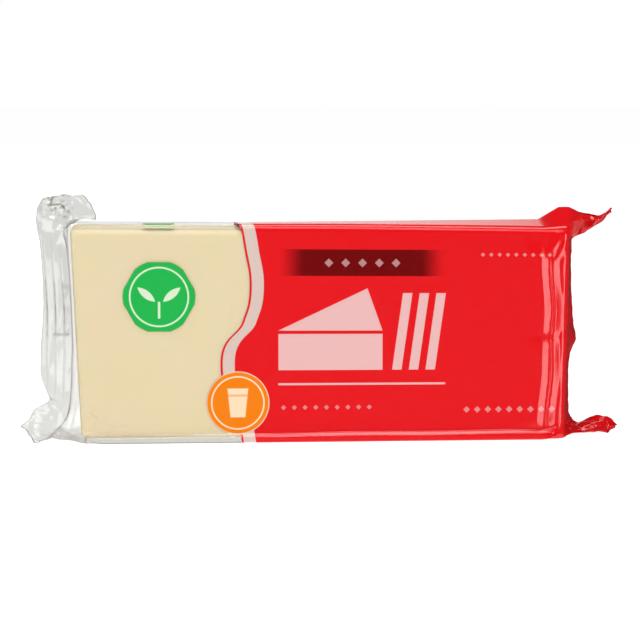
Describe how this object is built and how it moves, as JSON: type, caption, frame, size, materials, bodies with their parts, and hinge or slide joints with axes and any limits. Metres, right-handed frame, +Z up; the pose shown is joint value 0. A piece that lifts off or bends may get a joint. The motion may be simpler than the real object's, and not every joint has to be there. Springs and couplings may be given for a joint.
{
  "type": "film-wrapped cheddar block",
  "caption": "Bar of cheddar sealed in a flow-wrapped film pack, clear at one end and printed over the rest, with crimped end seals and loose ears of film.",
  "frame": {"origin": "middle of the flat underside that the pack stands on", "axes": "+X along the pack towards the printed end, +Y from the front to the back with the seam, +Z up"},
  "size_m": [0.1814, 0.0247, 0.0734],
  "materials": {
    "printed_film": "glossy printed film",
    "clear_film": "glossy clear film",
    "cheddar": "smooth, waxy"
  },
  "bodies": {
    "root": {"wrapped_block": "printed_film"}
  },
  "joints": []
}
